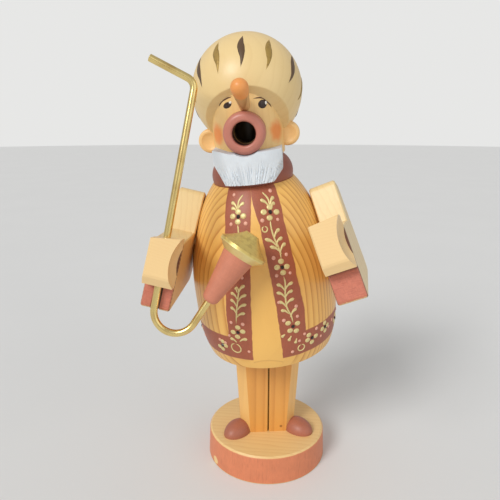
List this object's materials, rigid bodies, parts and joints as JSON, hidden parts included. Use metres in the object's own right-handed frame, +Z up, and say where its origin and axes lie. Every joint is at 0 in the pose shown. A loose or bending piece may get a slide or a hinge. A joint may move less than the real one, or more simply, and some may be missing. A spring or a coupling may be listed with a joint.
{
  "type": "incense smoker",
  "caption": "Wooden incense smoker: a bearded, turbaned figure on a round base holds a long bent pipe. The coat lifts off to reach the incense dish, and smoke leaves by the mouth.",
  "frame": {"origin": "middle of the base disc's flat underside", "axes": "+Z up, the base and legs face -Y, +X towards the figure's left; the upper half leans to its right and forward and is turned a little to its right"},
  "size_m": [0.0938, 0.0918, 0.1933],
  "materials": {
    "base_wood": "terracotta paint on the edge, bare pale wood on top",
    "dowel_wood": "bare beech",
    "leg_wood": "clear varnish",
    "shoe_paint": "matt paint",
    "plug_wood": "bare wood",
    "tinplate": "satin",
    "coat_pine": "clear varnish with painted bands",
    "collar_paint": "brown paint",
    "face_wood": "clear varnish with painted face",
    "lip_paint": "matt paint",
    "turban_wood": "clear varnish with painted strokes",
    "ear_wood": "clear varnish",
    "nose_wood": "clear varnish, stained tip",
    "beard_paint": "carved, white paint",
    "sleeve_wood": "clear varnish",
    "hand_wood": "clear varnish",
    "brass": "polished wire, softly tarnished",
    "bowl_paint": "matt paint",
    "gold_paint": "brushed gold paint"
  },
  "bodies": {
    "stand": {"base_disc": "base_wood", "leg_dowels": "dowel_wood", "legs": "leg_wood", "right_shoe": "shoe_paint", "left_shoe": "shoe_paint", "seat_dowel": "dowel_wood", "seat_plug": "plug_wood"},
    "figure": {"coat": "coat_pine", "collar": "collar_paint", "head": "face_wood", "mouth_ring": "lip_paint", "turban": "turban_wood", "right_ear": "ear_wood", "left_ear": "ear_wood", "nose": "nose_wood", "beard": "beard_paint", "right_sleeve": "sleeve_wood", "left_sleeve": "sleeve_wood", "right_arm_dowel": "dowel_wood", "left_arm_dowel": "dowel_wood", "right_hand": "hand_wood", "left_hand": "hand_wood"},
    "dish": {"incense_dish": "tinplate"},
    "pipe": {"pipe_stem": "brass", "pipe_bowl": "bowl_paint", "pipe_lid": "gold_paint"}
  },
  "joints": [
    {"name": "coat_lift", "type": "slide", "parent": "stand", "child": "figure", "axis": [-0.1167, -0.0866, 0.9894], "range_m": [0, 0.06]},
    {"name": "dish_lift", "type": "slide", "parent": "stand", "child": "dish", "axis": [-0.1167, -0.0866, 0.9894], "range_m": [0, 0.03]},
    {"name": "pipe_turn", "type": "hinge", "parent": "figure", "child": "pipe", "pos_m": [-0.04171, -0.04274, 0.11705], "axis": [-0.203, -0.1417, -0.9689], "range_deg": [-3, 72]}
  ]
}
